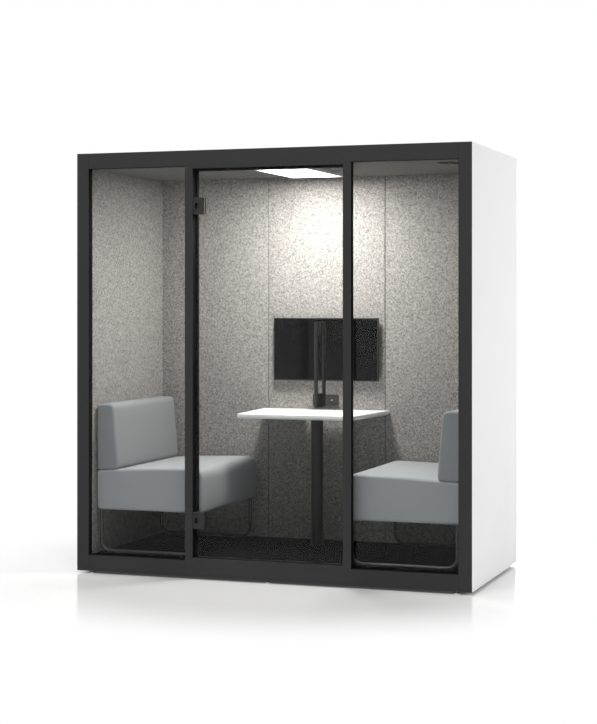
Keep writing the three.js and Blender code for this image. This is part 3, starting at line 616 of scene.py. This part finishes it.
panel_glow.size = diffuser_high.x - diffuser_low.x
panel_glow.size_y = (diffuser_high.y - diffuser_low.y) * lamp_length
panel_glow.energy = lamp_power
panel_glow.color = lamp_colour
panel_glow.spread = math.pi
panel_glow_lamp = bpy.data.objects.new("panel_glow", panel_glow)
panel_glow_lamp.location = ((diffuser_low.x + diffuser_high.x) / 2,
                            (diffuser_low.y + diffuser_high.y) / 2 - lamp_forward,
                            diffuser_low.z - lamp_below)
panel_glow_lamp.visible_transmission = False
panel_glow_lamp.visible_glossy = False
scene.collection.objects.link(panel_glow_lamp)


# Ceiling fan: a moulded housing with its guard, flange and duct, and a bladed rotor on the motor.
# Both are black plastic, and the duct goes up through the roof panel.
plastic_colour = (0.014, 0.014, 0.0143, 1)
housing_edge = 0.0004
rotor_edge = 0.0003
black_plastic = coated("black_plastic", plastic_colour, shade=0.75, peel=700.0, smooth=0.4, rough=0.55,
                       depth=0.00005)
eased("fan_housing", housing_edge, black_plastic, "black_plastic", 1)
eased("fan_rotor", rotor_edge, black_plastic, "black_plastic", 1)


# Table: a white laminated top that tapers to the front, bevelled below, with a cable notch at the wall.
# It stands on one black coated column and is screwed to the back wall.
table_colour = (0.87, 0.87, 0.87, 1)
table_edge = 0.0012
column_edge = 0.002
column_steps = 4
column_sides = 64
column_tip = 0.001
table_white = coated("table_white", table_colour, shade=0.98, peel=1500.0, smooth=0.35, rough=0.45,
                     depth=0.00002)
eased("table_top", table_edge, table_white, "table_white", 3)
low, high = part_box("table_column")
column_shape = round_bar(((low.x + high.x) / 2, (low.y + high.y) / 2), low.z, high.z, (high.x - low.x) / 2,
                         column_edge, column_steps, column_sides, column_tip)
new_piece("table_column_round", mesh_of("table_column_round", *column_shape), satin_black, "ironwork",
          "cabin", "table_column")


# Sofas: each a foam seat and back in blue-grey wool, sewn from a long cover panel with two side panels,
# so that a seam runs round each side. The foam fills the cover, which crowns a little between its seams.
# The backs are covered in the same wool, painted darker as painted shade, so they read a little darker than
# the seats.
wool_dark = (0.262, 0.273, 0.285, 1)
wool_light = (0.36, 0.372, 0.385, 1)
wool_fleck = (0.43, 0.44, 0.45, 1)
# The backs' copy of the wool is darkened by a share, with darker flecks, as painted shade.
painted_shade_fleck = (0.34, 0.347, 0.354, 1)
back_painted_shade = 0.76
seat_front_round = 0.058
seat_crown = 0.006
crown_at = 0.55
crown_round = 0.1
seat_lift = 0.001
back_lift = 0.003
back_slope = 0.030
back_round = 0.030
cover_corner = 0.012
cover_ease = 0.001
seam_round = 0.013
seam_turns = [0, 18, 36, 45, 54, 72, 90]
seam_turn = 45
seam_depth = 0.00112
side_middle = 0.06
fullness = 0.002
around = 132
cover_stations = 46
side_rings = 12
stuffing_pressure = 3.0
stuffing_frames = 20
stuffing_limit = 0.003
stuffing_smooth = 40
cover_stretch = 60
cover_shear = 30
cover_bend = 2
seat_on_frame = 0.012
seat_under_back = 0.145
back_on_seat = 0.02
back_on_wall = 0.012
corner_points = 9


def soft_outline(corners, count):
    """A closed outline through rounded corners, each (u, v, radius), with its points evenly spaced.

    At a corner it follows the parabola that leaves one edge and meets the other a radius away."""
    corners = np.asarray(corners, float)
    point, radius = corners[:, :2], corners[:, 2:]
    before = np.roll(point, 1, axis=0) - point
    after = np.roll(point, -1, axis=0) - point
    start = point + before / np.linalg.norm(before, axis=1, keepdims=True) * radius
    end = point + after / np.linalg.norm(after, axis=1, keepdims=True) * radius
    t = np.linspace(0, 1, corner_points)[None, :, None]
    bends = (1 - t) ** 2 * start[:, None] + 2 * t * (1 - t) * point[:, None] + t ** 2 * end[:, None]
    path = bends.reshape(-1, 2)
    path = np.concatenate([path, path[:1]])
    along = np.concatenate([[0], np.cumsum(np.linalg.norm(np.diff(path, axis=0), axis=1))])
    even = np.linspace(0, along[-1], count, endpoint=False)
    return np.stack([np.interp(even, along, path[:, 0]), np.interp(even, along, path[:, 1])], axis=-1)


def cover_grid(outline, y_near, y_far):
    """A padded cover: rows of the outline from the middle of the near side, over the cover, to the far one.

    Row k is centre + s_k (outline - centre) - d_k n, at depth y_k, where n is the outline's own outward
    normal: s grows to one over a side panel, and d eases the sewn edge through a quarter circle."""
    centre = outline.mean(axis=0)
    edge = np.roll(outline, -1, axis=0) - np.roll(outline, 1, axis=0)
    normal = np.stack([edge[:, 1], -edge[:, 0]], axis=-1) / np.linalg.norm(edge, axis=1, keepdims=True)
    rings = np.linspace(side_middle, 1, side_rings, endpoint=False)
    turn = np.radians(seam_turns)
    sew = np.where(np.equal(seam_turns, seam_turn), seam_depth, 0.0)
    scale = np.concatenate([rings, np.ones(len(turn))])
    inset = np.concatenate([rings * seam_round, seam_round * (1 - np.sin(turn)) + sew])
    depth = np.concatenate([np.zeros(len(rings)), seam_round * (1 - np.cos(turn)) + sew])
    stations = np.linspace(0, 1, cover_stations + 1)[1:-1]
    run_near, run_far = y_near + seam_round, y_far - seam_round
    scales = np.concatenate([scale, np.ones(len(stations)), scale[::-1]])
    insets = np.concatenate([inset, np.zeros(len(stations)), inset[::-1]])
    depths = np.concatenate([y_near + depth, run_near + (run_far - run_near) * stations,
                             (y_far - depth)[::-1]])
    flat = centre + scales[:, None, None] * (outline - centre) - insets[:, None, None] * normal
    deep = np.repeat(depths[:, None, None], len(outline), axis=1)
    rows = np.concatenate([flat[..., :1], deep, flat[..., 1:]], axis=-1)
    near_seam = len(rings) + seam_turns.index(seam_turn)
    return rows, [near_seam, len(scales) - 1 - near_seam]


def stuffed(name, rows, held):
    """The cover blown up by its filling: held points stay, and the rest swell as cloth under pressure.

    Each point moves a limit at most, each ring of a side panel moves as one, and the moves are smoothed."""
    count, columns = rows.shape[:2]
    faces = [face[::-1] for face in capped_faces(count, columns)]
    mesh = bpy.data.meshes.new(name)
    mesh.from_pydata(rows.reshape(-1, 3).tolist(), [], faces)
    mesh.update()
    maker = bpy.data.objects.new(name + "_filling", mesh)
    scene.collection.objects.link(maker)
    pins = maker.vertex_groups.new(name="sewn")
    pins.add(np.flatnonzero(held).tolist(), 1.0, "REPLACE")
    cloth = maker.modifiers.new("filling", "CLOTH")
    cloth.settings.use_pressure = True
    cloth.settings.uniform_pressure_force = stuffing_pressure
    cloth.settings.vertex_group_mass = "sewn"
    cloth.settings.tension_stiffness = cover_stretch
    cloth.settings.compression_stiffness = cover_stretch
    cloth.settings.shear_stiffness = cover_shear
    cloth.settings.bending_stiffness = cover_bend
    cloth.settings.effector_weights.gravity = 0
    cloth.collision_settings.use_collision = False
    for step in range(1, stuffing_frames + 1):
        scene.frame_set(step)
    swollen = maker.evaluated_get(bpy.context.evaluated_depsgraph_get()).data
    points = np.empty(len(mesh.vertices) * 3, np.float32)
    swollen.vertices.foreach_get("co", points)
    rest = rows.reshape(-1, 3)
    moved = points.reshape(-1, 3) - rest
    reach = np.linalg.norm(moved, axis=1, keepdims=True)
    moved *= np.minimum(1, stuffing_limit / np.maximum(reach, 1e-9))
    moved = moved.reshape(rows.shape)
    for side in (slice(0, side_rings), slice(count - side_rings, count)):
        moved[side] = moved[side].mean(axis=1, keepdims=True)
    fixed = held.reshape(count, columns)
    for _ in range(stuffing_smooth):
        tall = np.pad(moved, ((1, 1), (0, 0), (0, 0)), mode="edge")
        beside = np.roll(moved, 1, axis=1) + np.roll(moved, -1, axis=1)
        moved = (2 * moved + beside + tall[:-2] + tall[2:]) / 6
        moved[fixed] = 0
    bpy.data.objects.remove(maker)
    mesh.vertices.foreach_set("co", (rest + moved.reshape(-1, 3)).astype(np.float32).ravel())
    mesh.update()
    scene.frame_set(1)
    return mesh


def woollen(name, dark, light, fleck_colour):
    """A finish of fine wool cloth in two tones with flecks."""
    return fibrous(name, dark, light, fleck_colour, tufts=900.0, flecks=1500.0, share=0.62, depth=0.0002,
                   Roughness=0.9, Specular_IOR_Level=0.2, Sheen_Weight=0.04, Sheen_Roughness=0.5)


wool = woollen("wool_cover", wool_dark, wool_light, wool_fleck)
# The backs' wool: the seat cloth darkened as painted shade.
wool_painted_darker = woollen("wool_painted_darker", shaded(wool_dark, back_painted_shade),
                           shaded(wool_light, back_painted_shade), painted_shade_fleck)
half_turn = Matrix.Rotation(math.pi, 4, "Z")


def sofa_cushion(kind, outline_of, resting, cloth):
    """One cushion of the left sofa, and the same turned half way round for the right one."""
    low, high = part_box("left_" + kind)
    outline = soft_outline(outline_of(low, high), around)
    rows, seam_rows = cover_grid(outline, low.y - cover_ease, high.y + cover_ease)
    held = np.zeros(rows.shape[:2], bool)
    held[seam_rows] = True
    held |= resting(rows, low)
    mesh = stuffed("left_" + kind + "_cover", rows, held.ravel())
    turned_mesh = mesh.copy()
    middle = Matrix.Translation((0, low.y + high.y, 0))
    turned_mesh.transform(middle @ half_turn)
    for hand, cover in (("left_", mesh), ("right_", turned_mesh)):
        cover.shade_smooth()
        piece = new_piece(hand + kind + "_cover", cover, cloth, "upholstery", "cabin", hand + kind)
        finer = piece.modifiers.new("finer", "SUBSURF")
        finer.levels = 1
        finer.render_levels = 1


def seat_outline(low, high):
    """The seat's side: flat below, rising to the front, crowned on top and well rounded at the front."""
    back_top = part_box("left_back_cushion")[0].z
    front_top = high.z + fullness
    x0, x1 = low.x + cover_ease, high.x + fullness
    under = low.z + seat_lift
    crown_x = x0 + (x1 - x0) * crown_at
    crown_z = (front_top + back_top) / 2 + seat_crown
    return [(x0, under, cover_corner), (x1, under, cover_corner), (x1, front_top, seat_front_round),
            (crown_x, crown_z, crown_round), (x0, back_top, cover_corner)]


def back_outline(low, high):
    """The back's side: thick and rounded below, sloping back to a thinner rounded top."""
    x0, x1, top = low.x + cover_ease, high.x + fullness, high.z + fullness
    return [(x0, low.z, cover_corner), (x1, low.z + back_lift, back_round),
            (x1 - back_slope, top, back_round), (x0, top, back_round)]


def on_frame(rows, low):
    """The points of a seat that rest on the sled frames or are pressed by the back cushion."""
    return (rows[..., 2] < low.z + seat_on_frame) | (rows[..., 0] < low.x + seat_under_back)


def on_seat(rows, low):
    """The points of a back that rest on the seat or lean on the wall."""
    return (rows[..., 2] < low.z + back_on_seat) | (rows[..., 0] < low.x + back_on_wall)


sofa_cushion("seat_cushion", seat_outline, on_frame, wool)
sofa_cushion("back_cushion", back_outline, on_seat, wool_painted_darker)


# Sled frames: a round black coated tube bent down, along the floor and up again under each end of a
# seat, with two small glides below it.
sled_tube = 0.009
sled_bend = 0.055
glide_height = 0.006
glide_radius = 0.008
glide_edge = 0.001
glide_steps = 4
glide_from_leg = 0.09
bend_points = 13
sled_sides = 24


def sled_run(x0, x1, y, low, high):
    """A tube along a path in the X and Z plane: down, a quarter circle, along, a quarter circle, up.

    Point (i, j) is path_i + r (cos t_j m_i - sin t_j y), where m is the path's normal in its own plane."""
    bend = np.linspace(0, math.pi / 2, bend_points)
    first = np.stack([x0 + sled_bend * (1 - np.cos(bend)), low + sled_bend * (1 - np.sin(bend))], axis=-1)
    second = first[::-1] * (-1, 1) + (x0 + x1, 0)
    path = np.concatenate([[(x0, high)], first, second, [(x1, high)]])
    heading = np.gradient(path, axis=0)
    heading[0], heading[-1] = (0, -1), (0, 1)
    heading /= np.linalg.norm(heading, axis=1, keepdims=True)
    side = np.stack([-heading[:, 1], heading[:, 0]], axis=-1)
    turn = np.arange(sled_sides) * 2 * math.pi / sled_sides
    across = sled_tube * np.cos(turn)[None, :, None] * side[:, None]
    plane = path[:, None] + across
    depth = np.broadcast_to(y - sled_tube * np.sin(turn)[None, :, None], plane[..., :1].shape)
    points = np.concatenate([plane[..., :1], depth, plane[..., 1:]], axis=-1)
    return points.reshape(-1, 3), capped_faces(len(path), sled_sides)


def together(*shapes):
    """Several point and face arrays as one."""
    starts = np.cumsum([0] + [len(points) for points, faces in shapes[:-1]])
    points = np.concatenate([points for points, faces in shapes])
    faces = [[int(corner + start) for corner in face]
             for (_, found), start in zip(shapes, starts) for face in found]
    return points, faces


for sled in [hand + place + "_sled" for hand in ("left_", "right_") for place in ("near", "rear")]:
    low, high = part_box(sled)
    middle = (low.y + high.y) / 2
    run_z = low.z + glide_height + sled_tube
    leg = (low.x + sled_tube, high.x - sled_tube)
    glides = [round_bar((x, middle), low.z, run_z, glide_radius, glide_edge, glide_steps, sled_sides)
              for x in (leg[0] + glide_from_leg, leg[1] - glide_from_leg)]
    shape = together(sled_run(leg[0], leg[1], middle, run_z, high.z), *glides)
    new_piece(sled + "_bent", mesh_of(sled + "_bent", *shape), tube_black, "ironwork", "cabin", sled)


# Wall screen on its bracket, and the socket plate with an outlet and the round light button.
# Black moulded plastic, a gloss screen in a narrow bezel, and a small steel lens in the button.
# The bracket and the plate are screwed to the wall.
bezel = 0.007
monitor_edge = 0.0015
screen_black = ((0.0006, 0.0006, 0.0007, 1), (0.0012, 0.0012, 0.0013, 1))
screen_rows = ((bezel, 0.0), (bezel, -0.0006), (bezel + 0.0008, -0.001))
plate_edge = 0.0012
button_sides = 48
button_ease = 0.0003
button_tip = 0.0004
button_back = 0.0006
lens_radius = 0.0042
lens_deep = 0.002
lens_sides = 32
eased("monitor", monitor_edge, black_plastic, "screen", 3)
dress("monitor_bracket", satin_black)
screen_gloss, screen_tree, screen_shader = new_finish("screen_gloss", Specular_IOR_Level=0.1)
screen_smear = noise(screen_tree, 5.0, 4.0)
screen_tree.links.new(ranged(screen_tree, screen_smear, 0.35, 0.7, 0.012, 0.03),
                      screen_shader.inputs["Roughness"])
screen_tree.links.new(mixed(screen_tree, screen_smear, *screen_black), screen_shader.inputs["Base Color"])
low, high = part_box("monitor")
screen_points = [[(low.x + inset, low.y + out, low.z + inset), (high.x - inset, low.y + out, low.z + inset),
                  (high.x - inset, low.y + out, high.z - inset),
                  (low.x + inset, low.y + out, high.z - inset)] for inset, out in screen_rows]
screen_faces = capped_faces(len(screen_rows), 4)
new_piece("screen_face", mesh_of("screen_face", screen_points, screen_faces, 20), screen_gloss, "screen",
          "cabin")
eased("socket_plate", plate_edge, black_plastic, "black_plastic", 3)
low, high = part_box("light_button")
button_radius = (high.x - low.x) / 2
button_place = ((low.x + high.x) / 2, 0, (low.z + high.z) / 2)
button_rows = [(button_tip, low.y + 0.0008), (button_radius * 0.6, low.y + 0.0006),
               (button_radius * 0.78, low.y), (button_radius, low.y + 0.0003),
               (button_radius, high.y - button_back), (button_tip, high.y - button_back)]
button_shape = turned(rounded_rows(button_rows, button_ease), button_sides, button_place, "y")
new_piece("light_button_spun", mesh_of("light_button_spun", *button_shape), black_plastic, "black_plastic",
          "light_switch", "light_button")
lens_rows = [(button_tip, low.y - 0.0004), (lens_radius * 0.7, low.y - 0.0003),
             (lens_radius, low.y + 0.0004), (lens_radius, low.y + lens_deep),
             (button_tip, low.y + lens_deep)]
lens_shape = turned(rounded_rows(lens_rows, button_ease), lens_sides, button_place, "y")
new_piece("light_button_lens", mesh_of("light_button_lens", *lens_shape), plated_steel, "bright_steel",
          "light_switch")
